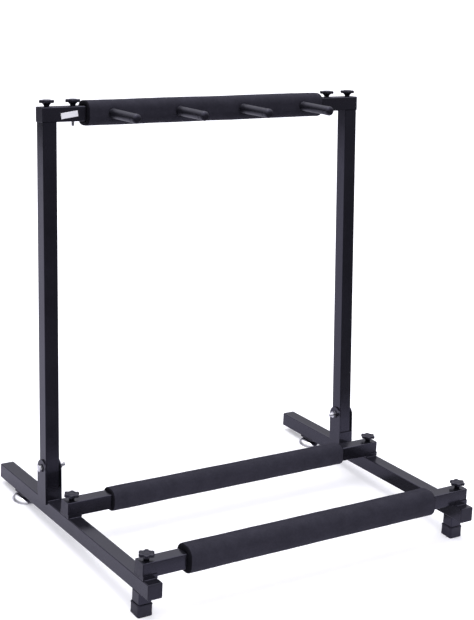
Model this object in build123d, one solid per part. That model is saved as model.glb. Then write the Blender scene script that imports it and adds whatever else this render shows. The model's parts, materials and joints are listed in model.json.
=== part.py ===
from build123d import *
import os
from math import cos, radians, sin, tan

# Folding three-space guitar rack in millimetres. +X is the viewer's right, the front is -Y and +Z is up.
# The origin is on the floor, below the middle of the two base legs.
#
# Three frames are used. In the leg frame, x runs across, y is 0 at the rear end of the legs and
# negative in front of it, and z is 0 on the legs' top faces. The upper frame starts on the hinge
# axis, with z along the uprights. The world frame stands on the floor.

# ---------------------------------------------------------------- driving dimensions
TUBE = 23.5                  # square steel tube of the legs, bars and uprights
WALL = 1.5
TUBE_CORNER = 1.7            # outer corner radius of the tube
LEG_SPACING = 576.0          # between the middles of the two legs
LEG_LENGTH = 503.5           # over the end plugs
LEG_SLOPE = 3.3              # degrees; the front of each leg stands higher
FLANGE = 2.0                 # thickness of an end plug's visible flange
FIT = 0.1                    # gap around a piece pushed into a tube or a sleeve

HINGE_FROM_REAR = 161.5      # hinge axis, in front of the legs' rear ends
HINGE_HEIGHT = 50.4          # hinge axis, above the legs' top faces
UPRIGHT_LEAN = 3.9           # degrees that the uprights lean back from the legs' normal
UPRIGHT_BELOW_HINGE = 33.0
TOP_BAR_RISE = 545.5         # hinge axis to the underside of the top bar

REAR_BAR_FROM_REAR = 240.7
FRONT_BAR_FROM_REAR = 475.5
SADDLE_THICKNESS = 1.6
SADDLE_LIP = 5.5             # height of the saddle's lips above its plate
SADDLE_LIP_THICKNESS = 1.4
LOWER_FOAMS = {"rear": (35.0, 448.0), "front": (40.5, 454.0)}  # outer size and length
FOAM_CORNER = 0.38           # corner radius as a share of the size

POST_FROM_REAR = 468.5
POST = 21.0                  # square tube of the front foot posts
POST_LENGTH = 30.0
CAP_RIM_BELOW_LEG = 17.8
CAP_WALL = 1.6
GLIDE_FROM_REAR = 75.5
GLIDE_DROP = 13.0            # legs' undersides to the floor, at the rear glides
GLIDE_RADIUS = 22.0
GLIDE_HEIGHT = 9.6
GLIDE_BALL_RADIUS = 4.0
GLIDE_BALL_HEIGHT = 5.3
GLIDE_PAD = (23.5, 36.0, 2.0)

BRACKET_WALL = 2.0
BRACKET_GAP = 0.4            # upright to each ear
BRACKET_REACH_BACK = 15.0    # hinge axis to the ears' rear edges
STOP_GAP = 0.2               # upright to the front web, where it stops
WEB_BELOW_HINGE = 32.0
EAR_LAP = 5.0                # how far the ears reach down the legs' sides

TOP_OVERHANG = 1.2           # top bar beyond the uprights' outer faces
RAIL_LENGTH = 440.0
CONNECTOR = 20.3             # square tube that joins the rail to the end tubes
CONNECTOR_IN_RAIL = 60.0
CONNECTOR_IN_END = 40.0
INNER_KNOB_X = 243.5
TOP_FOAM = 39.8
TOP_FOAM_LENGTH = 448.0
TOP_FOAM_X = -2.0            # the sleeve and the fingers sit a little left of the middle
FINGER_PITCH = 121.0
FINGERS_X = -1.0
FINGER_COUNT = 4
FINGER_REACH = 98.0          # uprights' middle plane to the fingers' tips
FINGER_DROOP = 2.5           # degrees below the top bar's normal
FINGER_RADIUS = 7.8
FINGER_PIN_RADIUS = 4.0

BOLT_RADIUS = 3.0            # M6 hinge bolts and levelling studs
STUD_RADIUS = 2.5            # M5 knob studs
RUNNING = 0.05               # radial clearance of a turning fit
STUD_HOLE = 2.8
KNOB_LOBES = 6
KNOB_TIP_RADIUS = 12.5
KNOB_LOBE_RADIUS = 3.5
KNOB_CORE_RADIUS = 9.6
KNOB_HEAD = 4.4
KNOB_COLLAR = 5.8
KNOB_NECK_RADIUS = 4.3
KNOB_NECK = 2.0              # straight part of the collar
STUD_IN_KNOB = 7.0
KNOB_GAP = 0.1               # knob collar to the face it is screwed down on
HINGE_NUT = 10.0             # across flats
STUD_NUT = 8.0
NUT_HEIGHT = 5.0

LABEL = (29.0, 9.3, 0.25)
LABEL_X = -255.0
LABEL_UP = 10.8              # label's middle above the top bar's underside
LABEL_TURN = 7.3             # degrees that the label is stuck on askew

# ---------------------------------------------------------------- places worked out from them
SIDE = LEG_SPACING / 2
HALF = TUBE / 2
INSIDE = TUBE - 2 * WALL
SLOPE = radians(LEG_SLOPE)
GLIDE_FLOOR = -TUBE - GLIDE_DROP

# The floor runs below both feet, so its height in the leg frame falls towards the front.
POST_FLOOR = GLIDE_FLOOR - (POST_FROM_REAR - GLIDE_FROM_REAR) * tan(SLOPE)
WORLD_Y = LEG_LENGTH / 2 * cos(SLOPE) + HALF * sin(SLOPE)
WORLD_Z = -(GLIDE_FROM_REAR * sin(SLOPE) + GLIDE_FLOOR * cos(SLOPE))
LEG_FRAME = Pos(0, WORLD_Y, WORLD_Z) * Rot(X=-LEG_SLOPE)
UPPER_FRAME = LEG_FRAME * Pos(0, -HINGE_FROM_REAR, HINGE_HEIGHT) * Rot(X=-UPRIGHT_LEAN)
BAR_PLACES = {"rear": -REAR_BAR_FROM_REAR, "front": -FRONT_BAR_FROM_REAR}
BAR_TOP = SADDLE_THICKNESS + TUBE

ALONG_X = Rot(Y=90)
ALONG_Y = Rot(X=-90)
nodes = {}


# ---------------------------------------------------------------- shapes used more than once
def tube(length, size=TUBE, wall=WALL, corner=TUBE_CORNER):
    """A square tube along +Z from the origin."""
    inner = size - 2 * wall
    section = RectangleRounded(size, size, corner) - RectangleRounded(inner, inner, corner - wall)
    return extrude(section, amount=length)


def rod(radius, bottom, top):
    """A round rod along Z between two heights."""
    return Pos(0, 0, bottom) * extrude(Circle(radius), amount=top - bottom)


def block(size_x, size_y, bottom, top):
    """A box centred on Z between two heights."""
    return Pos(0, 0, bottom) * extrude(Rectangle(size_x, size_y), amount=top - bottom)


def nut(bottom, across_flats=STUD_NUT, bore=STUD_RADIUS + RUNNING):
    """A hexagonal nut on Z."""
    hexagon = RegularPolygon(across_flats / 2, 6, major_radius=False)
    return Pos(0, 0, bottom) * extrude(hexagon - Circle(bore), amount=NUT_HEIGHT)


def end_plug(shank, size=TUBE):
    """A plastic end plug: a flange from the origin up +Z, with its shank below."""
    flange = extrude(RectangleRounded(size, size, TUBE_CORNER), amount=FLANGE)
    flange = fillet(flange.faces().sort_by(Axis.Z)[-1].edges(), 0.6)
    inner = size - 2 * WALL - 2 * FIT
    body = extrude(RectangleRounded(inner, inner, 0.9), amount=-shank)
    hollow = block(inner - 4, inner - 4, -shank, -1)
    return flange + (body - hollow)


def foam_sleeve(length, size, end_round=3.0):
    """A soft sleeve along X with a square hole for the tube and softened ends."""
    outer = extrude(RectangleRounded(size, size, size * FOAM_CORNER), amount=length)
    ends = outer.faces().sort_by(Axis.Z)
    outer = fillet(ends[0].edges() + ends[-1].edges(), end_round)
    hole = extrude(RectangleRounded(TUBE + 2 * FIT, TUBE + 2 * FIT, TUBE_CORNER), amount=length)
    return ALONG_X * Pos(0, 0, -length / 2) * (outer - hole)


def star_knob():
    """A six-lobed knob above z = 0, with a blind hole for its stud."""
    lobe_places = PolarLocations(KNOB_TIP_RADIUS - KNOB_LOBE_RADIUS, KNOB_LOBES)
    lobes = Sketch() + lobe_places * Circle(KNOB_LOBE_RADIUS)
    star = Circle(KNOB_CORE_RADIUS) + lobes
    star = fillet(star.vertices(), 1.6)
    head = Pos(0, 0, KNOB_COLLAR) * extrude(star, amount=KNOB_HEAD)
    from_base = (Align.CENTER, Align.CENTER, Align.MIN)
    cone = Cone(KNOB_NECK_RADIUS, 7.6, KNOB_COLLAR - KNOB_NECK, align=from_base)
    collar = rod(KNOB_NECK_RADIUS, 0, KNOB_NECK) + Pos(0, 0, KNOB_NECK) * cone
    rim = KNOB_COLLAR + KNOB_HEAD
    ring = Pos(0, 0, rim) * extrude(Circle(6.6) - Circle(5.2), amount=0.6)
    return head + collar + ring - rod(STUD_RADIUS, 0, STUD_IN_KNOB)


def knob_and_stud(name, place, stud_length):
    """Puts a star knob and its stud at a place, with the stud running down from it."""
    lift = Pos(0, 0, KNOB_GAP)
    nodes[f"{name}_knob"] = place * lift * star_knob()
    nodes[f"{name}_stud"] = place * lift * rod(STUD_RADIUS, -stud_length, STUD_IN_KNOB)


def both_sides(left_shape):
    """A piece and its mirror image, as separate solids of one node."""
    return Compound(left_shape.solids() + mirror(left_shape, about=Plane.YZ).solids())


def left_and_right(name, left_shape):
    """A piece and its mirror image, as one node each."""
    nodes[f"left_{name}"] = left_shape
    nodes[f"right_{name}"] = mirror(left_shape, about=Plane.YZ)


# ---------------------------------------------------------------- base legs and their feet
def base_leg():
    leg = Pos(0, -LEG_LENGTH + FLANGE, -HALF) * ALONG_Y * tube(LEG_LENGTH - 2 * FLANGE)
    for bar_y in BAR_PLACES.values():
        leg -= Pos(0, bar_y, 0) * rod(STUD_HOLE, -WALL - 1, 1)
    leg -= Pos(0, -GLIDE_FROM_REAR, 0) * rod(5.0, -TUBE - 1, -TUBE + WALL + 1)
    return LEG_FRAME * Pos(-SIDE, 0, 0) * leg


def leg_plug(at_rear):
    turn = ALONG_Y if at_rear else Rot(X=90)
    place_y = -FLANGE if at_rear else -LEG_LENGTH + FLANGE
    return LEG_FRAME * Pos(-SIDE, place_y, -HALF) * turn * end_plug(16)


def front_post():
    """The short foot post, flush with the leg's outer face."""
    return POST_PLACE * Pos(0, 0, -TUBE - POST_LENGTH) * tube(POST_LENGTH, POST)


def foot_cap():
    """A rubber cup on the post, cut level where it stands on the floor."""
    outer_size = POST + 2 * (FIT + CAP_WALL)
    rim = -TUBE - CAP_RIM_BELOW_LEG
    deep = POST_FLOOR - 5
    cup = Pos(0, 0, deep) * extrude(RectangleRounded(outer_size, outer_size, 3.2), amount=rim - deep)
    pocket_bottom = -TUBE - POST_LENGTH - FIT
    pocket = RectangleRounded(POST + 2 * FIT, POST + 2 * FIT, TUBE_CORNER)
    cup -= Pos(0, 0, pocket_bottom) * extrude(pocket, amount=rim - pocket_bottom)
    below_floor = Box(4 * SIDE, 2 * LEG_LENGTH, 60, align=(Align.CENTER, Align.CENTER, Align.MAX))
    return POST_PLACE * cup - below_floor


def glide_pad():
    """The plastic pad below the leg, with a threaded boss that reaches into the leg."""
    size_x, size_y, thick = GLIDE_PAD
    pad = block(size_x, size_y, -TUBE - thick, -TUBE)
    pad = fillet(pad.edges().filter_by(Axis.Z), 3)
    boss = rod(4.9, -TUBE, -TUBE + 11)
    return GLIDE_PLACE * (pad + boss - rod(BOLT_RADIUS, -TUBE - 5, -TUBE + 12))


def glide_stud():
    """The levelling stud in the pad, ending in a ball inside the glide."""
    ball_centre = GLIDE_CENTRE * Pos(0, 0, GLIDE_BALL_HEIGHT)
    shank = GLIDE_PLACE * rod(BOLT_RADIUS, GLIDE_FLOOR + GLIDE_BALL_HEIGHT, -TUBE + 11)
    return shank + ball_centre * Sphere(GLIDE_BALL_RADIUS)


def glide_disc():
    """The domed glide, which turns on the stud's ball and stands flat on the floor."""
    with BuildPart() as disc:
        with BuildSketch(Plane.XZ):
            with BuildLine():
                Polyline((0, GLIDE_HEIGHT), (0, 0), (GLIDE_RADIUS - 2, 0))
                ThreePointArc(
                    (GLIDE_RADIUS - 2, 0), (GLIDE_RADIUS - 0.3, 1.2), (GLIDE_RADIUS, 3)
                )
                Spline(
                    (GLIDE_RADIUS, 3),
                    (GLIDE_RADIUS * 0.86, GLIDE_HEIGHT - 2.6),
                    (GLIDE_RADIUS * 0.42, GLIDE_HEIGHT),
                    tangents=((0, 1), (-1, 0)),
                )
                Line((GLIDE_RADIUS * 0.42, GLIDE_HEIGHT), (0, GLIDE_HEIGHT))
            make_face()
        revolve(axis=Axis.Z)
    socket = Pos(0, 0, GLIDE_BALL_HEIGHT) * Sphere(GLIDE_BALL_RADIUS + RUNNING)
    neck = rod(GLIDE_BALL_RADIUS - 0.4, GLIDE_BALL_HEIGHT, GLIDE_HEIGHT + 1)
    return GLIDE_CENTRE * (disc.part - socket - neck)


POST_PLACE = LEG_FRAME * Pos(-SIDE - HALF + POST / 2, -POST_FROM_REAR, 0)
GLIDE_PLACE = LEG_FRAME * Pos(-SIDE, -GLIDE_FROM_REAR, 0)
GLIDE_CENTRE = Pos((GLIDE_PLACE * Pos(0, 0, GLIDE_FLOOR)).position)


# ---------------------------------------------------------------- hinges at the foot of the uprights
def hinge_bracket():
    """A U-bracket that straddles the leg and the upright, with a low front web as the stop."""
    inner = HALF + BRACKET_GAP
    web_back = -HALF - STOP_GAP
    web_front = web_back - BRACKET_WALL
    depth = BRACKET_REACH_BACK - web_front
    middle = (BRACKET_REACH_BACK + web_front) / 2
    top = 13.0 - depth / 2
    with BuildSketch(Plane.YZ) as ear:
        with Locations((middle, top)):
            Circle(depth / 2)
        with Locations((middle, top - 40)):
            Rectangle(depth, 80)
    body = extrude(ear.sketch, amount=inner + BRACKET_WALL, both=True)
    body -= Pos(0, web_back + 50, 0) * Box(2 * inner, 100, 300)
    body -= Pos(0, 0, -WEB_BELOW_HINGE) * block(2 * inner, 100, 0, 100)
    body -= ALONG_X * rod(BOLT_RADIUS, -50, 50)
    body = HINGE_PLACE * body
    body -= LEG_FRAME * Pos(-SIDE, -HINGE_FROM_REAR, 0) * block(2 * inner, 100, -60, 0)
    return body - LEG_FRAME * Pos(-SIDE, -HINGE_FROM_REAR, 0) * block(100, 100, -90, -EAR_LAP)


def hinge_bolt():
    """An M6 bolt, its head outside and its thread end inside the rack."""
    head = Pos(0, 0, -4.0) * extrude(RegularPolygon(5.0, 6, major_radius=False), amount=4)
    shank = rod(BOLT_RADIUS, 0, 2 * EAR_FACE + 2 * WASHER + NUT_HEIGHT + 6.5)
    return HINGE_PLACE * Pos(-EAR_FACE - WASHER, 0, 0) * ALONG_X * (head + shank)


def hinge_washers():
    washer = extrude(Circle(6.5) - Circle(BOLT_RADIUS), amount=WASHER)
    outer = HINGE_PLACE * Pos(-EAR_FACE - WASHER, 0, 0) * ALONG_X * washer
    inner = HINGE_PLACE * Pos(EAR_FACE, 0, 0) * ALONG_X * washer
    return Compound([outer, inner])


def hinge_nut():
    return HINGE_PLACE * Pos(EAR_FACE + WASHER, 0, 0) * ALONG_X * nut(0, HINGE_NUT, BOLT_RADIUS)


def upright_bush():
    """The plastic bush across the upright, which turns on the hinge bolt."""
    ring = Circle(4.5) - Circle(BOLT_RADIUS + RUNNING)
    return HINGE_PLACE * Pos(-HALF, 0, 0) * ALONG_X * extrude(ring, amount=TUBE)


WASHER = 1.0
EAR_FACE = HALF + BRACKET_GAP + BRACKET_WALL
HINGE_PLACE = UPPER_FRAME * Pos(-SIDE, 0, 0)


# ---------------------------------------------------------------- lower bars on their saddles
def bar_saddle(bar_y):
    """A shallow channel welded on the leg, which the bar drops into."""
    inner = TUBE + 2 * FIT
    outer = inner + 2 * SADDLE_LIP_THICKNESS
    saddle = block(TUBE, outer, 0, SADDLE_THICKNESS + SADDLE_LIP)
    saddle -= block(TUBE, inner, SADDLE_THICKNESS, SADDLE_THICKNESS + SADDLE_LIP)
    saddle -= rod(STUD_HOLE, 0, SADDLE_THICKNESS)
    return LEG_FRAME * Pos(-SIDE, bar_y, 0) * saddle


def weld_nuts():
    """One nut under each bar's stud, inside the leg."""
    places = Locations(*[(-SIDE, bar_y, 0) for bar_y in BAR_PLACES.values()])
    return Compound([LEG_FRAME * place * nut(-WALL - NUT_HEIGHT) for place in places])


def lower_bar(bar_y):
    length = LEG_SPACING + TUBE - 2 * FLANGE
    bar = Pos(-length / 2, 0, 0) * ALONG_X * tube(length)
    for x in (-SIDE, SIDE):
        bar -= Pos(x, 0, 0) * rod(STUD_HOLE, -TUBE, TUBE)
    return LEG_FRAME * Pos(0, bar_y, BAR_TOP - HALF) * bar


def lower_bar_plugs():
    places = Locations(*[(-SIDE - HALF + FLANGE, y, BAR_TOP - HALF) for y in BAR_PLACES.values()])
    return Compound([LEG_FRAME * place * Rot(Y=-90) * end_plug(4.5) for place in places])


# ---------------------------------------------------------------- upper frame
def upright():
    length = TOP_BAR_RISE + UPRIGHT_BELOW_HINGE - FLANGE
    post = Pos(0, 0, FLANGE - UPRIGHT_BELOW_HINGE) * tube(length)
    return HINGE_PLACE * (post - ALONG_X * rod(4.5, -TUBE, TUBE))


def upright_plug():
    return HINGE_PLACE * Pos(0, 0, FLANGE - UPRIGHT_BELOW_HINGE) * Rot(X=180) * end_plug(12)


def upright_insert():
    """The threaded plug in the upright's top, which the outer knob screws into."""
    size = INSIDE - 2 * FIT
    plug = extrude(RectangleRounded(size, size, 0.9), amount=-20)
    return HINGE_PLACE * Pos(0, 0, TOP_BAR_RISE) * (plug - rod(STUD_RADIUS + RUNNING, -21, 1))


def top_end_tube():
    outer_end = SIDE + HALF + TOP_OVERHANG - FLANGE
    body = Pos(-outer_end, 0, 0) * ALONG_X * tube(outer_end - RAIL_LENGTH / 2)
    for x in (SIDE, INNER_KNOB_X):
        body -= Pos(-x, 0, 0) * rod(STUD_HOLE, -TUBE, TUBE)
    return TOP_BAR * body


def top_end_plug():
    place = Pos(-SIDE - HALF - TOP_OVERHANG + FLANGE, 0, 0)
    return TOP_BAR * place * Rot(Y=-90) * end_plug(5)


def rail_connector():
    """The smaller tube that slides into the end tube and is clamped by the inner knob."""
    length = CONNECTOR_IN_RAIL + CONNECTOR_IN_END
    body = ALONG_X * tube(length, CONNECTOR, WALL, 2.0)
    body = Pos(-RAIL_LENGTH / 2 - CONNECTOR_IN_END, 0, 0) * body
    return TOP_BAR * (body - Pos(-INNER_KNOB_X, 0, 0) * rod(STUD_HOLE, -TUBE, TUBE))


def rail_nut():
    bottom = -CONNECTOR / 2 + WALL
    return TOP_BAR * Pos(-INNER_KNOB_X, 0, 0) * nut(bottom)


def finger_x(index):
    return FINGERS_X + (index - (FINGER_COUNT - 1) / 2) * FINGER_PITCH


def on_finger(index, shape, gap):
    """Puts a shape made along +Z on a finger's axis and cuts it off in front of the top bar."""
    body = Rot(X=90 + FINGER_DROOP) * shape - Box(TUBE, TUBE + 2 * gap, TUBE)
    return TOP_BAR * Pos(finger_x(index), 0, 0) * body


def finger_pin(index):
    return on_finger(index, rod(FINGER_PIN_RADIUS, 0, FINGER_REACH - 4), 0)


def neck_finger(index):
    """A padded finger: a rubber sleeve with a rounded end over its pin."""
    sleeve = rod(FINGER_RADIUS, 0, FINGER_REACH)
    sleeve = fillet(sleeve.faces().sort_by(Axis.Z)[-1].edges(), FINGER_RADIUS * 0.7)
    sleeve -= rod(FINGER_PIN_RADIUS + FIT, 0, FINGER_REACH - 4 + FIT)
    return on_finger(index, sleeve, FIT)


def top_foam():
    foam = Pos(TOP_FOAM_X, 0, 0) * foam_sleeve(TOP_FOAM_LENGTH, TOP_FOAM)
    hole = Rot(X=90 + FINGER_DROOP) * rod(FINGER_RADIUS + FIT, 0, TOP_FOAM)
    for index in range(FINGER_COUNT):
        foam -= Pos(finger_x(index), 0, 0) * hole
    return TOP_BAR * foam


def blank_label():
    width, height, thick = LABEL
    sheet = extrude(RectangleRounded(width, height, 0.8), amount=thick)
    place = Pos(LABEL_X, -HALF, LABEL_UP - HALF) * Rot(X=90) * Rot(Z=LABEL_TURN)
    return TOP_BAR * place * sheet


TOP_BAR = UPPER_FRAME * Pos(0, 0, TOP_BAR_RISE + HALF)

# ---------------------------------------------------------------- every node
left_and_right("base_leg", base_leg())
nodes["leg_rear_plugs"] = both_sides(leg_plug(at_rear=True))
nodes["leg_front_plugs"] = both_sides(leg_plug(at_rear=False))
left_and_right("front_post", front_post())
left_and_right("foot_cap", foot_cap())
nodes["glide_pads"] = both_sides(glide_pad())
nodes["glide_studs"] = both_sides(glide_stud())
left_and_right("rear_glide", glide_disc())

left_and_right("hinge_bracket", hinge_bracket())
nodes["hinge_bolts"] = both_sides(hinge_bolt())
nodes["hinge_washers"] = both_sides(hinge_washers())
nodes["hinge_nuts"] = both_sides(hinge_nut())
nodes["upright_bushes"] = both_sides(upright_bush())

for bar_name, bar_y in BAR_PLACES.items():
    nodes[f"{bar_name}_bar_saddles"] = both_sides(bar_saddle(bar_y))
    nodes[f"{bar_name}_lower_bar"] = lower_bar(bar_y)
    foam_size, foam_length = LOWER_FOAMS[bar_name]
    sleeve = foam_sleeve(foam_length, foam_size)
    nodes[f"{bar_name}_bar_foam"] = LEG_FRAME * Pos(0, bar_y, BAR_TOP - HALF) * sleeve

nodes["weld_nuts"] = both_sides(weld_nuts())
nodes["lower_bar_plugs"] = both_sides(lower_bar_plugs())

left_and_right("upright", upright())
nodes["upright_plugs"] = both_sides(upright_plug())
nodes["upright_inserts"] = both_sides(upright_insert())
left_and_right("top_end_tube", top_end_tube())
nodes["top_end_plugs"] = both_sides(top_end_plug())
nodes["top_rail"] = TOP_BAR * Pos(-RAIL_LENGTH / 2, 0, 0) * ALONG_X * tube(RAIL_LENGTH)
nodes["rail_connectors"] = both_sides(rail_connector())
nodes["rail_nuts"] = both_sides(rail_nut())
nodes["top_bar_foam"] = top_foam()
nodes["finger_pins"] = Compound([finger_pin(i) for i in range(FINGER_COUNT)])
for i in range(FINGER_COUNT):
    nodes[f"neck_finger_{i + 1}"] = neck_finger(i)
nodes["blank_label"] = blank_label()

for side_name, sign in (("left", -1), ("right", 1)):
    for bar_name, bar_y in BAR_PLACES.items():
        place = LEG_FRAME * Pos(sign * SIDE, bar_y, BAR_TOP)
        knob_and_stud(f"{side_name}_{bar_name}_bar", place, TUBE + SADDLE_THICKNESS + WALL + NUT_HEIGHT + 1)
    top_face = TOP_BAR * Pos(0, 0, HALF)
    knob_and_stud(f"{side_name}_top_outer", top_face * Pos(sign * SIDE, 0, 0), TUBE + 14)
    knob_and_stud(f"{side_name}_top_inner", top_face * Pos(sign * INNER_KNOB_X, 0, 0), TUBE + 7.8)

os.makedirs("parts", exist_ok=True)
for name, shape in nodes.items():
    export_step(shape, f"parts/{name}.step")
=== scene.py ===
import bmesh
import bpy
import json
import math
from mathutils import Matrix, Vector, noise

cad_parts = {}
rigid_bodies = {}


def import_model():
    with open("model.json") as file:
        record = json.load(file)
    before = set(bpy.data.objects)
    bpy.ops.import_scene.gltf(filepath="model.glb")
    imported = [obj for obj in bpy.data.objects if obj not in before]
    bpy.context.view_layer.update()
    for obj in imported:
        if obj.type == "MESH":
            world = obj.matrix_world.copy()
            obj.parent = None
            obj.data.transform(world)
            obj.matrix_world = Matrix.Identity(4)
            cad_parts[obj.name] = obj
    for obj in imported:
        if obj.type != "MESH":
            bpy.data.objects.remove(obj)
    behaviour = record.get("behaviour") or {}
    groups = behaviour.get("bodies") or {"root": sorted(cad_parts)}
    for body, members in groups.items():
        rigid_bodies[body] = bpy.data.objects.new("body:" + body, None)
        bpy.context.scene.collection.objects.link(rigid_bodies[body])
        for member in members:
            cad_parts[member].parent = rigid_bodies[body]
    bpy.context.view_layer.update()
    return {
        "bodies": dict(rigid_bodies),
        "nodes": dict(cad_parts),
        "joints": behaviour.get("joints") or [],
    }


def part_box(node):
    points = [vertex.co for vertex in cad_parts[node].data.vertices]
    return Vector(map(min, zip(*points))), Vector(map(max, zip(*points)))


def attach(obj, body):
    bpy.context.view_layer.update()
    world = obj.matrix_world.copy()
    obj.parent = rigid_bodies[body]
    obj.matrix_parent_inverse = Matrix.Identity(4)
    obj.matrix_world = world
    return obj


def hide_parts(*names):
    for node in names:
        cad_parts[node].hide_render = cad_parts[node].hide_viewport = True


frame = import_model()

# A folding three-space guitar rack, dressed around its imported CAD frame. Lengths are in metres.
# Places come from the frame's boxes and joints. The sizes below are the same as the CAD's.

MM = 0.001

# ---------------------------------------------------------------- sizes
TUBE = 23.5 * MM
TUBE_CORNER = 1.7 * MM
SLEEVE_GAP = 0.12 * MM            # foam or rubber to what it is pushed over
FOAM_CORNER = 0.38                # share of a foam sleeve's size
FOAM_END_ROUND = 3.2 * MM
CUT_AND_SHADE_RIM = 2.2 * MM                # bare cut foam, painted much darker as shade, reaches this far round a sleeve's ends
FOAM_SIZES = {"rear_bar_foam": 35 * MM, "front_bar_foam": 40.5 * MM, "top_bar_foam": 39.8 * MM}
FOAM_RING_STEP = 2 * MM
FOAM_WAVES = ((0.45 * MM, 70 * MM), (0.16 * MM, 17 * MM))  # depth and wavelength of the skin's unevenness
DENT_RADIUS = 16 * MM             # where a finger presses into the top sleeve
DENT_DEPTH = 1.5 * MM

FINGER_REACH = 98 * MM
FINGER_RADIUS = 7.8 * MM
FINGER_DROOP = 2.5                # degrees below the top bar's normal
FINGER_COUNT = 4
FINGER_DOME = 5 * MM
FINGER_SEAM_FROM_TIP = 12 * MM
COLLAR_TOP = 21.4 * MM            # end of a finger's base collar, from the top bar's middle line

KNOB_GAP = 0.1 * MM
KNOB_LOBES = 6
KNOB_CORE = 9.6 * MM
KNOB_LOBE = 3.5 * MM
KNOB_TIP = 12.5 * MM
KNOB_COLLAR = 5.8 * MM
KNOB_HEAD = 4.4 * MM
STUD_IN_KNOB = 7 * MM
INNER_STUD_BELOW_BAR = 7.8 * MM

STUD_RADIUS = 2.5 * MM
BOLT_RADIUS = 3 * MM
THREAD_PITCH = 1 * MM
THREAD_DEPTH = 0.55 * MM
BOLT_HEAD = 4 * MM
BOLT_ACROSS_FLATS = 10 * MM
THREAD_SHOWN = 6.5 * MM
NUT_HEIGHT = 5 * MM
WASHER = 1 * MM
EAR_FACE = TUBE / 2 + 2.4 * MM    # hinge bracket's outer faces
EAR_LAP = 5 * MM
EAR_WELD = 25.6 * MM              # length of the weld along each ear
HINGE_HEIGHT = 50.4 * MM          # hinge axis above the legs' top faces
WEB_FRONT = TUBE / 2 + 2.2 * MM   # upright's middle line to the bracket's front face

GLIDE_RADIUS = 22 * MM
GLIDE_HEIGHT = 9.6 * MM
GLIDE_HOLE = 3.7 * MM

POST = 21 * MM
POST_TOP = 15 * MM                # post's middle to the leg's underside
CAP_WALL = 1.6 * MM
CAP_CORNER = 3.2 * MM
SADDLE_LENGTH = TUBE + 3 * MM
SADDLE_HEIGHT = 7.1 * MM
BEAD_RADIUS = 1.1 * MM
SEED_STEP = 1.7                   # between the ripples of one weld bead and the next

LABEL_SIZE = (29 * MM, 9.3 * MM)
LABEL_CORNER = 0.9 * MM
LABEL_FACE = 0.22 * MM            # label's face above the tube
LABEL_THICKNESS = 0.18 * MM
LABEL_BELOW_MIDDLE = 0.95 * MM
LABEL_TURN = 7.3                  # degrees that the label is stuck on askew

CAMERA_AT = (-1.2321, -1.7913, 1.0624)
CAMERA_TURN = (-33.708, 13.416, 4.522)  # azimuth, elevation and roll in degrees
CAMERA_LENS = 83.058
CAMERA_SHIFT = -0.1935            # upwards, as a share of the image's height
FLOOR_RADIUS = 40.0
TABLE_RADIUS = 1.9                # lit floor; past it the studio is dark
TABLE_MIDDLE = (-0.8, 0.9)
FLAG_HEIGHT = 1 * MM
FLAGS = (                         # dark cards on the floor: left, right, front and back edges
    (-0.30, 4.0, -4.0, -0.405),
    (-0.30, 0.40, -0.17, 0.0),
    (-0.45, -0.30, -4.0, -0.32),
    (-4.0, -0.45, -4.0, -0.02),
)


# ---------------------------------------------------------------- places
def middle(node):
    low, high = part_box(node)
    return (low + high) / 2


def tilted(origin, up):
    """A place with its z along the given direction and its x across the rack."""
    z_axis = Vector(up).normalized()
    x_axis = Vector((1, 0, 0))
    turn = Matrix((x_axis, z_axis.cross(x_axis), z_axis)).transposed()
    return Matrix.Translation(origin) @ turn.to_4x4()


def shifted(place, x=0.0, y=0.0, z=0.0):
    return place @ Matrix.Translation((x, y, z))


JOINTS = {joint["name"]: joint for joint in frame["joints"]}
LEG_UP = JOINTS["left_rear_bar_turn"]["axis"]
UPPER_UP = JOINTS["left_top_outer_turn"]["axis"]
TOP_BAR = tilted(middle("top_rail"), UPPER_UP)
SIDES = {"left": -1, "right": 1}


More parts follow.
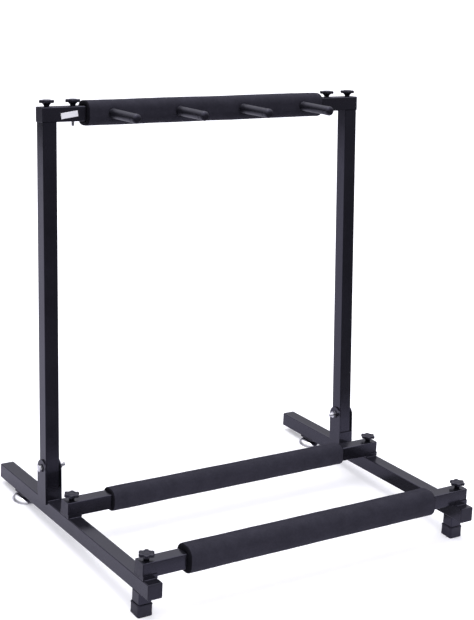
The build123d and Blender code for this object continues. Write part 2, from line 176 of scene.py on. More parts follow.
# ---------------------------------------------------------------- material nodes
class Recipe:
    """A procedural material, built node by node around a Principled shader."""

    def __init__(self, name, **settings):
        self.material = bpy.data.materials.new(name)
        self.material.use_nodes = True
        self.tree = self.material.node_tree
        self.shader = self.tree.nodes["Principled BSDF"]
        for key, value in settings.items():
            self.shader.inputs[key.replace("_", " ")].default_value = value
        self.place = self.add("ShaderNodeTexCoord").outputs["Object"]

    def add(self, kind, inputs=None, **values):
        made = self.tree.nodes.new(kind)
        for key, value in values.items():
            setattr(made, key, value)
        for key, value in (inputs or {}).items():
            if isinstance(value, bpy.types.NodeSocket):
                self.tree.links.new(value, made.inputs[key])
            else:
                made.inputs[key].default_value = value
        return made

    def noise(self, scale, detail=3.0, distortion=0.0):
        inputs = {"Vector": self.place, "Scale": scale, "Detail": detail}
        inputs["Roughness"] = 0.55
        inputs["Distortion"] = distortion
        return self.add("ShaderNodeTexNoise", inputs).outputs["Fac"]

    def cells(self, scale, feature="F1", smooth=None):
        inputs = {"Vector": self.place, "Scale": scale}
        if smooth is not None:
            inputs["Smoothness"] = smooth
        return self.add("ShaderNodeTexVoronoi", inputs, feature=feature).outputs["Distance"]

    def ramp(self, value, low, high, out_low=0.0, out_high=1.0):
        inputs = {"Value": value, "From Min": low, "From Max": high}
        inputs["To Min"] = out_low
        inputs["To Max"] = out_high
        return self.add("ShaderNodeMapRange", inputs).outputs["Result"]

    def math(self, operation, first, second):
        return self.add("ShaderNodeMath", {0: first, 1: second}, operation=operation).outputs[0]

    def blend(self, factor, first, second):
        """Two colours mixed by a factor."""
        made = self.add("ShaderNodeMix", data_type="RGBA")
        for index, value in ((0, factor), (6, first), (7, second)):
            if isinstance(value, bpy.types.NodeSocket):
                self.tree.links.new(value, made.inputs[index])
            else:
                made.inputs[index].default_value = value
        return made.outputs[2]

    def bump(self, height, strength, distance, under=None):
        inputs = {"Height": height, "Strength": strength, "Distance": distance}
        if under is not None:
            inputs["Normal"] = under
        return self.add("ShaderNodeBump", inputs).outputs["Normal"]

    def edges(self, radius, low=0.55, high=0.97):
        """1 on sharp edges and 0 on flats, from the difference between rounded and real normals."""
        rounded = self.add("ShaderNodeBevel", {"Radius": radius}, samples=6).outputs["Normal"]
        real = self.add("ShaderNodeNewGeometry").outputs["Normal"]
        product = self.add("ShaderNodeVectorMath", {0: rounded, 1: real}, operation="DOT_PRODUCT")
        return self.ramp(product.outputs["Value"], high, low)

    def finish(self, **links):
        for key, value in links.items():
            self.tree.links.new(value, self.shader.inputs[key.replace("_", " ")])
        return self.material


def grey(value, blue=0.0):
    return (value, value, value + blue, 1.0)


def cool(value):
    """A dark tone with the cast that the rack's blacks have."""
    return (value, value * 0.97, value * 1.28, 1.0)


BLUISH = cool(0.78)


def powder_coat():
    """Satin black powder coat: orange peel, faint tone patches, and rubbed edges that are lightened partly
    as a painted highlight.
    """
    made = Recipe("powder_coat", IOR=1.5, Specular_IOR_Level=0.6, Specular_Tint=BLUISH)
    patches = made.noise(14, detail=4)
    colour = made.blend(made.ramp(patches, 0.35, 0.65), cool(0.0060), cool(0.0085))
    # Lighter edges: partly rubbed wear, partly a painted highlight where the edges catch light.
    rubbed_lit_edges = made.math("MULTIPLY", made.edges(0.7 * MM), made.ramp(made.noise(110, 4), 0.45, 0.62, 0, 0.35))
    colour = made.blend(rubbed_lit_edges, colour, cool(0.045))
    specks = made.ramp(made.cells(150), 0.05, 0.03)
    lint = made.math("MULTIPLY", specks, made.ramp(made.noise(60), 0.56, 0.6))
    colour = made.blend(made.math("MULTIPLY", lint, 0.25), colour, cool(0.10))
    roughness = made.ramp(made.noise(48, 5), 0.3, 0.7, 0.16, 0.24)
    peel = made.bump(made.noise(620, 2), 0.22, 0.10 * MM)
    grain = made.bump(made.noise(2400, 2), 0.2, 0.03 * MM, peel)
    return made.finish(Base_Color=colour, Roughness=roughness, Normal=grain)


def foam_skin(name, dark, light, pore_depth):
    """Closed-cell foam: small pores with painted shade in them, soft mottling and a dusty sheen."""
    made = Recipe(name, Specular_IOR_Level=0.12, Specular_Tint=BLUISH)
    mottle = made.math("ADD", made.noise(38, 5), made.ramp(made.noise(260, 3), 0.3, 0.7, -0.12, 0.12))
    colour = made.blend(made.ramp(mottle, 0.3, 0.7), cool(dark), cool(light))
    pores = made.ramp(made.cells(1150), 0.08, 0.5)
    # The pits are painted darker: painted shade in the pores.
    colour = made.blend(made.ramp(pores, 0.35, 0.0), colour, cool(dark * 0.45))
    skin = made.bump(made.noise(190, 4), 0.35, 0.35 * MM)
    pitted = made.bump(pores, 0.45, pore_depth, skin)
    roughness = made.ramp(made.noise(90), 0.3, 0.7, 0.74, 0.92)
    return made.finish(Base_Color=colour, Roughness=roughness, Normal=pitted)


def satin_rubber(name, dark, light, roughness_low, roughness_high, grain):
    """Soft rubber or PVC with a fine tooth and handling marks."""
    made = Recipe(name, IOR=1.5, Specular_Tint=BLUISH)
    colour = made.blend(made.ramp(made.noise(30, 4), 0.35, 0.65), cool(dark), cool(light))
    dusty = made.ramp(made.noise(420, 3), 0.62, 0.75, 0, 0.2)
    colour = made.blend(dusty, colour, cool(light * 2.0))
    roughness = made.ramp(made.noise(70, 5), 0.3, 0.7, roughness_low, roughness_high)
    tooth = made.bump(made.noise(1500, 2), 0.3, grain)
    return made.finish(Base_Color=colour, Roughness=roughness, Normal=tooth)


def moulded_plastic(name, dark, light, roughness_low, roughness_high):
    """Spark-textured injection-moulded plastic with slightly polished edges."""
    made = Recipe(name, IOR=1.48, Specular_Tint=BLUISH)
    colour = made.blend(made.ramp(made.noise(55, 3), 0.35, 0.65), cool(dark), cool(light))
    worn = made.math("MULTIPLY", made.edges(0.7 * MM), made.ramp(made.noise(160, 3), 0.4, 0.65, 0, 0.3))
    colour = made.blend(worn, colour, cool(light * 4))
    roughness = made.ramp(made.noise(120, 4), 0.3, 0.7, roughness_low, roughness_high)
    spark = made.bump(made.cells(1900), 0.22, 0.05 * MM)
    return made.finish(Base_Color=colour, Roughness=roughness, Normal=spark)


def chrome():
    """Bright plating with faint swirls and finger haze."""
    made = Recipe("chrome", Metallic=1.0)
    haze = made.noise(70, 5, distortion=0.6)
    colour = made.blend(made.ramp(haze, 0.35, 0.7), grey(0.80, 0.006), grey(0.70, 0.006))
    roughness = made.ramp(haze, 0.3, 0.75, 0.06, 0.2)
    swirl = made.bump(made.noise(900, 2), 0.06, 0.02 * MM)
    return made.finish(Base_Color=colour, Roughness=roughness, Normal=swirl)


def zinc_steel():
    """Zinc-plated hardware: crystalline mottling and machining marks."""
    made = Recipe("zinc_steel", Metallic=1.0)
    crystals = made.cells(420, feature="SMOOTH_F1", smooth=0.4)
    colour = made.blend(made.ramp(crystals, 0.1, 0.8), grey(0.80, 0.012), grey(0.62, 0.010))
    roughness = made.ramp(made.noise(300, 4), 0.3, 0.7, 0.20, 0.36)
    marks = made.bump(made.noise(1300, 3), 0.2, 0.04 * MM)
    return made.finish(Base_Color=colour, Roughness=roughness, Normal=marks)


def label_film():
    """Matte white film, a little grubby at its rim."""
    made = Recipe("label_film", IOR=1.45)
    patches = made.ramp(made.noise(90, 4), 0.3, 0.7)
    colour = made.blend(patches, (0.96, 0.96, 0.96, 1), (0.90, 0.90, 0.91, 1))
    grubby = made.math("MULTIPLY", made.edges(0.8 * MM), made.ramp(made.noise(500, 3), 0.4, 0.7, 0.1, 0.7))
    colour = made.blend(grubby, colour, (0.30, 0.29, 0.28, 1))
    paper = made.bump(made.noise(1800, 3), 0.15, 0.03 * MM)
    roughness = made.ramp(made.noise(60), 0.3, 0.7, 0.38, 0.5)
    return made.finish(Base_Color=colour, Roughness=roughness, Normal=paper)


MATERIALS = {
    "powder_coat": powder_coat(),
    "foam": foam_skin("foam", 0.021, 0.0275, 0.16 * MM),
    "finger_rubber": satin_rubber("finger_rubber", 0.004, 0.006, 0.38, 0.48, 0.02 * MM),
    "knob_plastic": moulded_plastic("knob_plastic", 0.005, 0.008, 0.30, 0.42),
    "plug_plastic": moulded_plastic("plug_plastic", 0.007, 0.010, 0.32, 0.44),
    "cap_rubber": satin_rubber("cap_rubber", 0.007, 0.010, 0.42, 0.55, 0.05 * MM),
    "chrome": chrome(),
    "zinc_steel": zinc_steel(),
    "label_film": label_film(),
}
# Bare cut foam for the sleeve ends. Its very dark colour is partly painted shade.
CUT_FOAM_AND_SHADE = foam_skin("cut_foam_and_shade", 0.0035, 0.006, 0.35 * MM)


# ---------------------------------------------------------------- mesh helpers
def add_piece(name, shape, place, body, slot, replaced=(), sharp=40.0, material=None):
    """Makes a mesh object from a bmesh at a place and lets it ride on its body."""
    shape.transform(place)
    bmesh.ops.recalc_face_normals(shape, faces=shape.faces)
    mesh = bpy.data.meshes.new(name)
    shape.to_mesh(mesh)
    shape.free()
    mesh.materials.append(material or MATERIALS[slot])
    mesh.shade_smooth()
    mesh.set_sharp_from_angle(angle=math.radians(sharp))
    piece = bpy.data.objects.new(name, mesh)
    bpy.context.scene.collection.objects.link(piece)
    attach(piece, body)
    if replaced:
        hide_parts(*replaced)
    return piece


def lofted(rings, shape=None, capped=True):
    """Faces between rings of points. The first and last rings are closed."""
    shape = shape or bmesh.new()
    rows = [[shape.verts.new(point) for point in ring] for ring in rings]
    for low, high in zip(rows, rows[1:]):
        for index in range(len(low)):
            after = (index + 1) % len(low)
            shape.faces.new((low[index], low[after], high[after], high[index]))
    if capped:
        shape.faces.new(rows[0])
        shape.faces.new(rows[-1])
    return shape


def turned(rings, count=72, shape=None, capped=True):
    """Rings about local z, from the bottom up: (radius or a function of the angle, height)."""
    angles = [2 * math.pi * step / count for step in range(count)]
    points = []
    for radius, height in rings:
        reach = radius if callable(radius) else (lambda angle, fixed=radius: fixed)
        points.append([(reach(a) * math.cos(a), reach(a) * math.sin(a), height) for a in angles])
    return lofted(points, shape, capped)


def merge(gathered, shape, place):
    """Adds a bmesh, moved to a place, to another one."""
    shape.transform(place)
    copied = {vertex: gathered.verts.new(vertex.co) for vertex in shape.verts}
    for face in shape.faces:
        gathered.faces.new([copied[vertex] for vertex in face.verts])
    shape.free()


def rounded_square(half, corner, per_corner=7, per_side=9):
    """Points round a square with arcs at its corners."""
    straight = half - corner
    points = []
    for quarter in range(4):
        turn = Matrix.Rotation(quarter * math.pi / 2, 2)
        for step in range(per_corner):
            angle = math.pi / 2 * step / (per_corner - 1)
            arc = corner * Vector((math.cos(angle), math.sin(angle)))
            points.append(turn @ (Vector((straight, straight)) + arc))
        for step in range(1, per_side):
            points.append(turn @ Vector((straight - 2 * straight * step / per_side, half)))
    return points


def ripple(point, wave, seed):
    """Smooth noise about 0 with the given wavelength."""
    return noise.noise(Vector(point) / wave + Vector((seed, 0.37 * seed, 0)))


# ---------------------------------------------------------------- foam sleeves
def foam_rings(length, size, seed, dents=()):
    """Rings along x: in at one end of the hole, round the outside and back in at the other end."""
    hole = TUBE / 2 + SLEEVE_GAP
    half = size / 2
    corner = size * FOAM_CORNER
    end = length / 2
    rim = FOAM_END_ROUND
    profile = [(-end + 6 * MM, hole, 0), (-end + 0.6 * MM, hole, 0)]
    for share in (0.0, 0.45, 1.0):
        inset = hole + 0.5 * MM + (half - rim - hole - 0.5 * MM) * share
        profile.append((-end - 0.25 * MM * math.sin(math.pi * share), inset, 0))
    for step in range(1, 6):
        angle = math.pi / 2 * step / 5
        profile.append((-end + rim * (1 - math.cos(angle)), half - rim * (1 - math.sin(angle)), 1))
    steps = int((length - 2 * rim) / FOAM_RING_STEP)
    start = -end + rim
    inner = [(start + (length - 2 * rim) * step / steps, half, 1) for step in range(1, steps)]
    profile = profile + inner + [(-x, reach, soft) for x, reach, soft in reversed(profile)]
    rings = []
    for x, reach, soft in profile:
        share = (reach - hole) / (half - hole)
        round_corner = TUBE_CORNER + (corner - TUBE_CORNER) * max(share, 0)
        ring = []
        for across, up in rounded_square(reach, round_corner):
            swell = 0.0
            if soft:
                spot = (x, across, up)
                swell = sum(depth * ripple(spot, wave, seed) for depth, wave in FOAM_WAVES)
            scale = 1 + swell / half
            point = Vector((x, across * scale, up * scale))
            for dent_x in dents:
                away = math.hypot(x - dent_x, up)
                if across < 0 and away < DENT_RADIUS:
                    point.y += DENT_DEPTH * (0.5 + 0.5 * math.cos(math.pi * away / DENT_RADIUS))
            ring.append(point)
        rings.append(ring)
    return rings


def foam_sleeve(node, body, place, seed, dents=()):
    """A foam sleeve with moulded skin outside and bare cut foam on its end faces, which are painted much
    darker as painted shade.
    """
    low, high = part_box(node)
    length = high.x - low.x
    centre_x = (low.x + high.x) / 2
    dents = [dent - centre_x for dent in dents]
    shape = lofted(foam_rings(length, FOAM_SIZES[node], seed, dents), capped=False)
    place = shifted(place, x=centre_x)
    sleeve = add_piece(node + "_sleeve", shape, place, body, "foam", (node,), sharp=70)
    sleeve.data.materials.append(CUT_FOAM_AND_SHADE)
    # Faces near the ends get the dark cut foam: bare foam plus painted shade.
    for face in sleeve.data.polygons:
        if abs(face.center.x - centre_x) > length / 2 - CUT_AND_SHADE_RIM:
            face.material_index = 1
    return sleeve


def finger_x(index):
    low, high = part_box(f"neck_finger_{index + 1}")
    return (low.x + high.x) / 2


FINGERS = [finger_x(index) for index in range(FINGER_COUNT)]
foam_sleeve("rear_bar_foam", "base", tilted(middle("rear_lower_bar"), LEG_UP), 3.1)
foam_sleeve("front_bar_foam", "base", tilted(middle("front_lower_bar"), LEG_UP), 7.7)
foam_sleeve("top_bar_foam", "upper_frame", TOP_BAR, 5.3, dents=FINGERS)


# ---------------------------------------------------------------- neck fingers
def wobbly(reach, height, seed):
    """A nearly round ring: its radius by angle."""

    def radius(angle):
        spot = (math.cos(angle) * reach, math.sin(angle) * reach, height)
        return reach + 0.09 * MM * ripple(spot, 12 * MM, seed)

    return radius


def finger_rings(seed):
    """A sleeve that tapers a little, with a base collar, a tip seam and a domed tip."""
    radius = FINGER_RADIUS
    seam = FINGER_REACH - FINGER_SEAM_FROM_TIP
    profile = [(radius * 0.6, TUBE / 2 + 2 * MM), (radius, TUBE / 2 + 2 * MM)]
    profile += [(radius, 18 * MM), (radius + 0.45 * MM, 18.6 * MM), (radius + 0.5 * MM, 20.6 * MM)]
    profile += [(radius + 0.1 * MM, COLLAR_TOP)]
    steps = 22
    for step in range(1, steps):
        along = step / steps
        profile.append((radius - 0.35 * MM * along, COLLAR_TOP + (seam - COLLAR_TOP) * along))
    profile += [(radius - 0.35 * MM, seam - 0.5 * MM), (radius - 0.75 * MM, seam - 0.15 * MM)]
    profile += [(radius - 0.75 * MM, seam + 0.15 * MM), (radius - 0.15 * MM, seam + 0.6 * MM)]
    profile += [(radius - 0.05 * MM, seam + 3 * MM)]
    for step in range(1, 9):
        angle = math.pi / 2 * step / 8
        reach = radius * 0.28 + radius * 0.71 * math.cos(angle)
        profile.append((reach, FINGER_REACH - FINGER_DOME + FINGER_DOME * math.sin(angle)))
    return [(wobbly(reach, height, seed), height) for reach, height in profile]


for index, x in enumerate(FINGERS):
    place = shifted(TOP_BAR, x=x) @ Matrix.Rotation(math.radians(90 + FINGER_DROOP), 4, "X")
    node = f"neck_finger_{index + 1}"
    shape = turned(finger_rings(11.0 + index), 56)
    add_piece(node + "_sleeve", shape, place, "upper_frame", "finger_rubber", (node,), sharp=50)


# ---------------------------------------------------------------- star knobs and their studs
def star(inset=0.0):
    """The knob's outline as a radius by angle: six round lobes, blended into a round core."""
    centre = KNOB_TIP - KNOB_LOBE
    lobe = KNOB_LOBE - inset
    core = KNOB_CORE - inset
    blend = 1.1 * MM

    def radius(angle):
        pitch = 2 * math.pi / KNOB_LOBES
        off = (angle + pitch / 2) % pitch - pitch / 2
        across = centre * math.sin(off)
        inside = max(lobe * lobe - across * across, 0)
        reach = centre * math.cos(off) + math.sqrt(inside) if inside else 0.0
        overlap = max(blend - abs(reach - core), 0) / blend
        return max(reach, core) + overlap * overlap * blend / 4

    return radius


def knob_shape():
    """A flared neck, the lobed head and a shallow dish with a raised ring in its top."""
    top = KNOB_COLLAR + KNOB_HEAD
    rings = [(3.3 * MM, 0), (3.9 * MM, 0), (4.2 * MM, 0.3 * MM), (4.3 * MM, 1.0 * MM), (4.4 * MM, 1.8 * MM)]
    rings += [(4.9 * MM, 2.7 * MM), (5.9 * MM, 3.9 * MM), (7.0 * MM, 5.1 * MM)]
    rings += [(7.9 * MM, KNOB_COLLAR - 0.1 * MM)]
    for inset, height in ((0.9, 0.0), (0.35, 0.12), (0.08, 0.45), (0.0, 0.9)):
        rings.append((star(inset * MM), KNOB_COLLAR + height * MM))
    for inset, height in ((0.0, 1.1), (0.06, 0.65), (0.3, 0.25), (0.8, 0.05), (1.6, 0.0)):
        rings.append((star(inset * MM), top - height * MM))
    rings += [(7.1 * MM, top - 0.02 * MM), (6.75 * MM, top + 0.1 * MM), (6.5 * MM, top + 0.5 * MM)]
    rings += [(6.2 * MM, top + 0.6 * MM), (5.5 * MM, top + 0.6 * MM), (5.2 * MM, top + 0.5 * MM)]
    rings += [(5.0 * MM, top + 0.05 * MM), (4.6 * MM, top - 0.15 * MM), (2.5 * MM, top - 0.35 * MM)]
    rings += [(0.6 * MM, top - 0.4 * MM)]
    return turned(rings, 120)


def thread(start, length, outer):
    """A threaded rod along z with a chamfered end at the top."""
    per_turn = 10
    steps = int(length / THREAD_PITCH * per_turn)
    rings = []
    for step in range(steps + 1):
        height = start + length * step / steps

        def radius(angle, z=height):
            phase = (z / THREAD_PITCH - angle / (2 * math.pi)) % 1.0
            groove = THREAD_DEPTH * abs(2 * phase - 1)
            chamfer = max(z - (start + length - 0.7 * MM), 0)
            return outer - max(groove, chamfer)

        rings.append((radius, height))
    return rings


def stud_shape(below, threaded):
    """A stud with its end below z = 0 threaded and a plain shank inside the knob."""
    threads = thread(below - threaded, threaded, STUD_RADIUS)
    flipped = [(radius, -height) for radius, height in reversed(threads)]
    shank = STUD_RADIUS - 0.1 * MM
    plain = [(shank, -(below - threaded) + 0.1 * MM), (shank, STUD_IN_KNOB)]
    return turned(flipped + plain, 40)


def knob(name):
    """The star knob of a body, and its stud where the thread's end shows below the bar."""
    joint = JOINTS[name.replace("_knob", "_turn")]
    place = shifted(tilted(Vector(joint["pos_m"]), joint["axis"]), z=KNOB_GAP)
    add_piece(name + "_star", knob_shape(), place, name, "knob_plastic", (name,), sharp=38)
    if "_inner_" in name:
        stud = name.replace("_knob", "_stud")
        shape = stud_shape(TUBE + INNER_STUD_BELOW_BAR, INNER_STUD_BELOW_BAR + 2 * MM)
        add_piece(stud + "_thread", shape, place, name, "zinc_steel", (stud,), sharp=60)


for knob_body in frame["bodies"]:
    if knob_body.endswith("_knob"):
        knob(knob_body)


# ---------------------------------------------------------------- hinge bolts
def hexagon(across_flats):
    """A hexagon's radius by angle."""

    def radius(angle):
        off = (angle + math.pi / 6) % (math.pi / 3) - math.pi / 6
        return across_flats / 2 / math.cos(off)

    return radius


def hinge_bolt_shape(length):
    """Head at the origin, shank along +z, thread at the far end."""
    flat = hexagon(BOLT_ACROSS_FLATS)
    full_round = BOLT_ACROSS_FLATS / 2

    def smaller(limit):
        return lambda angle: min(flat(angle), limit)

    head = -BOLT_HEAD
    rings = [(2.2 * MM, head + 0.25 * MM), (3.6 * MM, head + 0.2 * MM), (4.1 * MM, head)]
    rings += [(full_round * 0.96, head), (smaller(full_round * 1.03), head + 0.22 * MM)]
    rings += [(smaller(full_round * 1.1), head + 0.5 * MM), (flat, head + 0.85 * MM)]
    rings += [(flat, -0.35 * MM), (smaller(full_round * 1.04), -0.12 * MM), (full_round * 0.97, 0)]
    rings += [(BOLT_RADIUS, 0), (BOLT_RADIUS, length - THREAD_SHOWN - 3 * MM)]
    rings += thread(length - THREAD_SHOWN - 2.9 * MM, THREAD_SHOWN + 2.9 * MM, BOLT_RADIUS)
    return turned(rings, 60)


bolts = bmesh.new()
bolt_head_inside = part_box("hinge_bolts")[1].x - BOLT_HEAD
bolt_length = 2 * EAR_FACE + 2 * WASHER + NUT_HEIGHT + THREAD_SHOWN
hinge_y, hinge_z = JOINTS["fold"]["pos_m"][1:]
for sign in SIDES.values():
    turn = Matrix.Rotation(-sign * math.pi / 2, 4, "Y")
    spot = Matrix.Translation((sign * bolt_head_inside, hinge_y, hinge_z)) @ turn
    merge(bolts, hinge_bolt_shape(bolt_length), spot)
add_piece("hinge_bolts_threaded", bolts, Matrix(), "base", "zinc_steel", ("hinge_bolts",), sharp=35)


# ---------------------------------------------------------------- feet
def glide_shape():
    """A pressed chrome dome with a rolled lower rim and a crimped crown."""
    rings = [(GLIDE_RADIUS * 0.2, 0.5 * MM), (GLIDE_RADIUS * 0.78, 0.45 * MM)]
    rings += [(GLIDE_RADIUS * 0.85, 0.02 * MM)]
    for step in range(7):
        angle = -math.pi / 2 + math.pi * 0.62 * step / 6
        reach = GLIDE_RADIUS - 1.5 * MM + 1.5 * MM * math.cos(angle)
        rings.append((reach, 1.5 * MM + 1.5 * MM * math.sin(angle)))
    for step in range(1, 13):
        along = step / 12
        reach = GLIDE_RADIUS * (0.955 - 0.50 * along ** 1.7)
        rings.append((reach, 3.1 * MM + (GLIDE_HEIGHT - 3.5 * MM) * math.sin(math.pi / 2 * along)))
    crown = GLIDE_HEIGHT
    rings += [(GLIDE_RADIUS * 0.42, crown - 0.12 * MM), (GLIDE_RADIUS * 0.36, crown)]
    rings += [(GLIDE_HOLE + 1.2 * MM, crown), (GLIDE_HOLE + 0.3 * MM, crown - 0.15 * MM)]
    rings += [(GLIDE_HOLE, crown - 0.6 * MM), (GLIDE_HOLE, crown - 2.2 * MM)]
    return turned(rings, 96)


def cap_shape(place):
    """A rubber cup round the post, with a rolled rim, cut level where it meets the floor."""
    inner = POST / 2 + SLEEVE_GAP
    outer = inner + CAP_WALL
    cap_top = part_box("left_foot_cap")[1].z
    up = place.to_3x3() @ Vector((0, 0, 1))
    rim = (cap_top - place.translation.z - outer * abs(up.y)) / up.z
    corner = CAP_CORNER

    def ring(half, radius, height):
        return [Vector((x, y, height)) for x, y in rounded_square(half, radius)]

    def on_floor(half, radius, above):
        points = []
        for x, y in rounded_square(half, radius):
            foot = place @ Vector((x, y, 0))
            points.append(Vector((x, y, (above - foot.z) / up.z)))
        return points

    rings = [ring(inner, TUBE_CORNER, rim - 6 * MM), ring(inner, TUBE_CORNER, rim - 0.5 * MM)]
    rings += [ring(inner + 0.35 * MM, TUBE_CORNER, rim - 0.08 * MM), ring(inner + 0.8 * MM, corner, rim)]
    rings += [ring(outer - 0.25 * MM, corner, rim - 0.1 * MM), ring(outer, corner, rim - 0.45 * MM)]
    rings += [ring(outer, corner, rim - 2.2 * MM), ring(outer - 0.3 * MM, corner, rim - 2.7 * MM)]
    rings += [on_floor(outer - 0.25 * MM, corner, 5 * MM), on_floor(outer, corner, 1.3 * MM)]
    rings += [on_floor(outer - 0.15 * MM, corner, 0.55 * MM)]
    rings += [on_floor(outer - 0.55 * MM, corner, 0.12 * MM)]
    rings += [on_floor(outer - 1.2 * MM, corner, 0), on_floor(outer - 5 * MM, corner, 0)]
    return lofted(rings)


for side in SIDES:
    glide_joint = JOINTS[f"{side}_glide_turn"]["pos_m"]
    place = Matrix.Translation((glide_joint[0], glide_joint[1], 0))
    node = f"{side}_rear_glide"
    add_piece(node + "_dome", glide_shape(), place, f"{side}_glide", "chrome", (node,), sharp=50)
    place = tilted(middle(f"{side}_front_post"), LEG_UP)
    node = f"{side}_foot_cap"
    add_piece(node + "_cup", cap_shape(place), place, "base", "cap_rubber", (node,), sharp=60)


# ---------------------------------------------------------------- weld beads
def bead_shape(half_length, seed):
    """A weld bead along x, with the ripples of its pool."""
    steps = int(2 * half_length / (0.35 * MM))
    rings = []
    for step in range(steps + 1):
        x = -half_length + 2 * half_length * step / steps
        end = min(1.0, (half_length - abs(x)) / (1.6 * MM) + 0.25)
        reach = BEAD_RADIUS * math.sqrt(end)
        reach *= 1 + 0.10 * math.sin(2 * math.pi * x / (1.7 * MM)) + 0.18 * ripple((x, 0, 0), 4 * MM, seed)
        circle = [2 * math.pi * side / 12 for side in range(12)]
        rings.append([Vector((x, reach * math.cos(a), reach * math.sin(a))) for a in circle])
    return lofted(rings)


beads = bmesh.new()


def weld(place, half_length, seed):
    """Adds a bead along a place's x to the others."""
    merge(beads, bead_shape(half_length, seed), place)


leg_side = abs(middle("left_base_leg").x)
seed = 1.0
for sign in SIDES.values():
    for saddles in ("rear_bar_saddles", "front_bar_saddles"):
        saddle_middle = middle(saddles)
        saddle_middle.x = sign * leg_side
        saddle_place = tilted(saddle_middle, LEG_UP)
        for end in (-1, 1):
            foot = shifted(saddle_place, y=end * SADDLE_LENGTH / 2, z=-SADDLE_HEIGHT / 2)
            weld(foot, TUBE / 2 - 2.2 * MM, seed)
            seed += SEED_STEP
for side in SIDES:
    post_place = tilted(middle(f"{side}_front_post"), LEG_UP)
    for end in (-1, 1):
        weld(shifted(post_place, y=end * POST / 2, z=POST_TOP), POST / 2 - 2.4 * MM, seed)
        seed += SEED_STEP
upright_lean = Vector(UPPER_UP).angle(Vector(LEG_UP))
web_foot = WEB_FRONT + HINGE_HEIGHT * math.tan(upright_lean)
for sign in SIDES.values():
    hinge_place = tilted(Vector((sign * leg_side, hinge_y, hinge_z)), LEG_UP)
    leg_top = shifted(hinge_place, z=-HINGE_HEIGHT)
    weld(shifted(leg_top, y=-web_foot - 0.3 * MM, z=0.1 * MM), TUBE / 2 - 1.4 * MM, seed)
    seed += SEED_STEP
    for end in (-1, 1):
        ear = shifted(leg_top, x=end * (TUBE / 2 + 0.5 * MM), y=-3.1 * MM, z=-EAR_LAP - 0.2 * MM)
        weld(ear @ Matrix.Rotation(math.pi / 2, 4, "Z"), EAR_WELD / 2, seed)
        seed += SEED_STEP
add_piece("weld_beads", beads, Matrix(), "base", "powder_coat", sharp=70)


# ---------------------------------------------------------------- label
def label_shape(width, height, thick):
    """A thin sheet with round corners, one of them a little lifted."""
    shape = bmesh.new()
    columns, rows = 40, 14
    corner = LABEL_CORNER
    grid = []
    for row in range(rows + 1):
        line = []
        for column in range(columns + 1):
            x = -width / 2 + width * column / columns
            y = -height / 2 + height * row / rows
            over_x = max(abs(x) - (width / 2 - corner), 0)
            over_y = max(abs(y) - (height / 2 - corner), 0)
            reach = math.hypot(over_x, over_y)
            if over_x and over_y and reach > corner:
                x = math.copysign(abs(x) - over_x + over_x * corner / reach, x)
                y = math.copysign(abs(y) - over_y + over_y * corner / reach, y)
            lift = max((x / width + y / height) - 0.78, 0)
            z = thick + 0.03 * MM * ripple((x, y, 0), 5 * MM, 2.0) + 2.6 * MM * lift * lift
            line.append(shape.verts.new((x, y, z)))
        grid.append(line)
    for row in range(rows):
        for column in range(columns):
            low = grid[row][column:column + 2]
            high = grid[row + 1][column:column + 2]
            shape.faces.new((low[0], low[1], high[1], high[0]))
    return shape


place = shifted(TOP_BAR, x=middle("blank_label").x, y=-TUBE / 2, z=-LABEL_BELOW_MIDDLE)
place = place @ Matrix.Rotation(math.pi / 2, 4, "X") @ Matrix.Rotation(math.radians(LABEL_TURN), 4, "Z")
shape = label_shape(*LABEL_SIZE, LABEL_FACE)
label = add_piece("blank_label_film", shape, place, "upper_frame", "label_film", ("blank_label",), sharp=80)
thickness = label.modifiers.new("thickness", "SOLIDIFY")
thickness.thickness = LABEL_THICKNESS
thickness.offset = -1


# ---------------------------------------------------------------- materials of the CAD nodes that stay
for node in frame["nodes"].values():
    for material_slot in node.material_slots:
        slot_name = material_slot.material.name.split(".")[0]
        material_slot.material = MATERIALS[slot_name]


# ---------------------------------------------------------------- stage, light and camera
def stage_piece(name, shape, material):
    """A mesh of the stage, which isn't part of the rack."""
    mesh = bpy.data.meshes.new(name)
    shape.to_mesh(mesh)
    shape.free()
    mesh.materials.append(material)
    made = bpy.data.objects.new(name, mesh)
    bpy.context.scene.collection.objects.link(made)
    return made


def disc(radius, centre=(0, 0, 0)):
    shape = bmesh.new()
    bmesh.ops.create_circle(shape, cap_ends=True, segments=96, radius=radius)
    bmesh.ops.translate(shape, verts=shape.verts, vec=centre)
    return shape


def plain_floor():
    """The pale floor that the camera sees. The rack is lit by the tables below it instead."""
    made = Recipe("floor", Roughness=0.85, Specular_IOR_Level=0.0, Emission_Strength=0.25)
    made.shader.inputs["Emission Color"].default_value = (1, 1, 1, 1)
    tone = made.blend(made.ramp(made.noise(3, 4), 0.3, 0.7), grey(0.84), grey(0.86))
    floor = stage_piece("floor", disc(FLOOR_RADIUS), made.finish(Base_Color=tone))
    floor.visible_diffuse = False
    floor.visible_glossy = False


def bounce_table(name, depth, glow, lights_foam):
    """A disc just below the floor that only diffuse rays see, or only mirrored ones."""
    shape = disc(TABLE_RADIUS, (*TABLE_MIDDLE, -depth))
    made = Recipe(name, Roughness=0.85, Specular_IOR_Level=0.1, Emission_Strength=glow)
    made.shader.inputs["Emission Color"].default_value = (0.94, 0.93, 1, 1)
    tone = made.blend(made.ramp(made.noise(3, 4), 0.3, 0.7), (0.70, 0.69, 0.75, 1), (0.72, 0.71, 0.77, 1))
    table = stage_piece(name, shape, made.finish(Base_Color=tone))
    table.visible_camera = False
    table.visible_shadow = False
    table.visible_diffuse = lights_foam
    table.visible_glossy = not lights_foam


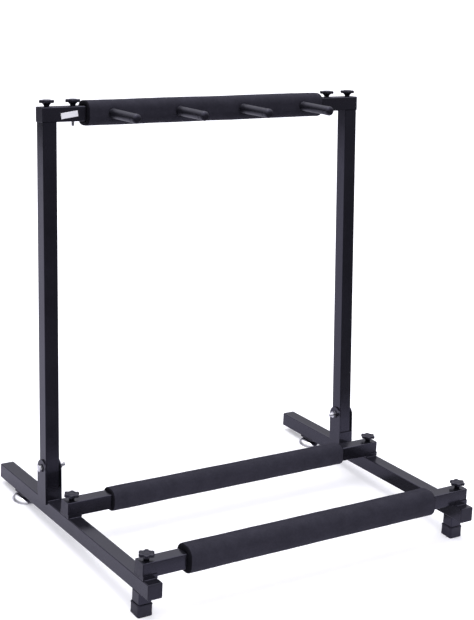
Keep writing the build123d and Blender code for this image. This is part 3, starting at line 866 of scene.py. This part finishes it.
def black_flags():
    """Dark cards lying in front of the rack, which only its front faces and corners mirror."""
    shape = bmesh.new()
    for left, right, front, back in FLAGS:
        corners = ((left, front), (right, front), (right, back), (left, back))
        shape.faces.new([shape.verts.new((x, y, FLAG_HEIGHT)) for x, y in corners])
    made = Recipe("flag", Roughness=0.9, Specular_IOR_Level=0.1)
    tone = made.blend(made.ramp(made.noise(3, 4), 0.3, 0.7), grey(0.10), grey(0.12))
    cards = stage_piece("flags", shape, made.finish(Base_Color=tone))
    cards.visible_camera = False
    cards.visible_diffuse = False
    cards.visible_shadow = False
    cards.visible_transmission = False


def softbox(name, size, spot, aim, power):
    """A rectangular area light that the camera doesn't see."""
    data = bpy.data.lights.new(name, "AREA")
    data.shape = "RECTANGLE"
    data.size, data.size_y = size
    data.energy = power
    light = bpy.data.objects.new(name, data)
    light.location = spot
    direction = Vector(aim) - Vector(spot)
    light.rotation_euler = direction.to_track_quat("-Z", "Y").to_euler()
    light.visible_camera = False
    bpy.context.scene.collection.objects.link(light)


def studio_world():
    """White for the camera; for the rack it is dim near the horizon and bright overhead."""
    world = bpy.data.worlds.new("studio")
    bpy.context.scene.world = world
    world.use_nodes = True
    tree = world.node_tree
    place = tree.nodes.new("ShaderNodeTexCoord")
    height = tree.nodes.new("ShaderNodeSeparateXYZ")
    tree.links.new(place.outputs["Generated"], height.inputs[0])

    def by_height(low, high, dim, bright, smooth):
        made = tree.nodes.new("ShaderNodeMapRange")
        made.interpolation_type = "SMOOTHSTEP" if smooth else "LINEAR"
        made.inputs["From Min"].default_value = low
        made.inputs["From Max"].default_value = high
        made.inputs["To Min"].default_value = dim
        made.inputs["To Max"].default_value = bright
        tree.links.new(height.outputs["Z"], made.inputs["Value"])
        return made.outputs["Result"]

    strength = tree.nodes.new("ShaderNodeMath")
    strength.operation = "MULTIPLY"
    tree.links.new(by_height(0.15, 0.75, 0.28, 1.65, smooth=True), strength.inputs[0])
    tree.links.new(by_height(-0.08, 0.04, 0.12, 1.0, smooth=False), strength.inputs[1])
    lit = tree.nodes["Background"]
    lit.inputs["Color"].default_value = (0.97, 0.965, 1.06, 1)
    tree.links.new(strength.outputs[0], lit.inputs["Strength"])
    seen = tree.nodes.new("ShaderNodeBackground")
    seen.inputs["Color"].default_value = (1, 1, 1, 1)
    path = tree.nodes.new("ShaderNodeLightPath")
    mix = tree.nodes.new("ShaderNodeMixShader")
    tree.links.new(path.outputs["Is Camera Ray"], mix.inputs[0])
    tree.links.new(lit.outputs[0], mix.inputs[1])
    tree.links.new(seen.outputs[0], mix.inputs[2])
    tree.links.new(mix.outputs[0], tree.nodes["World Output"].inputs["Surface"])


def camera():
    """A camera at the viewing angle, rolled about its own axis."""
    azimuth, elevation, roll = (math.radians(value) for value in CAMERA_TURN)
    level_back = Vector((math.sin(azimuth), -math.cos(azimuth), 0))
    back = math.cos(elevation) * level_back + Vector((0, 0, math.sin(elevation)))
    level_right = Vector((math.cos(azimuth), math.sin(azimuth), 0))
    level_up = back.cross(level_right)
    right = math.cos(roll) * level_right + math.sin(roll) * level_up
    up = -math.sin(roll) * level_right + math.cos(roll) * level_up
    data = bpy.data.cameras.new("camera")
    data.sensor_width = 36
    data.lens = CAMERA_LENS
    data.shift_y = CAMERA_SHIFT
    data.clip_end = 100
    made = bpy.data.objects.new("camera", data)
    turn = Matrix((right, up, back)).transposed()
    made.matrix_world = Matrix.Translation(CAMERA_AT) @ turn.to_4x4()
    bpy.context.scene.collection.objects.link(made)
    bpy.context.scene.camera = made


plain_floor()
bounce_table("mirrored_table", 0.5 * MM, 0.1, False)
bounce_table("lighting_table", 2 * MM, 1.25, True)
black_flags()
studio_world()
softbox("overhead", (1.8, 1.4), (-0.3, 0.3, 2.6), (-0.1, 0.2, 0), 22)
camera()
bpy.context.scene.view_settings.view_transform = "Standard"
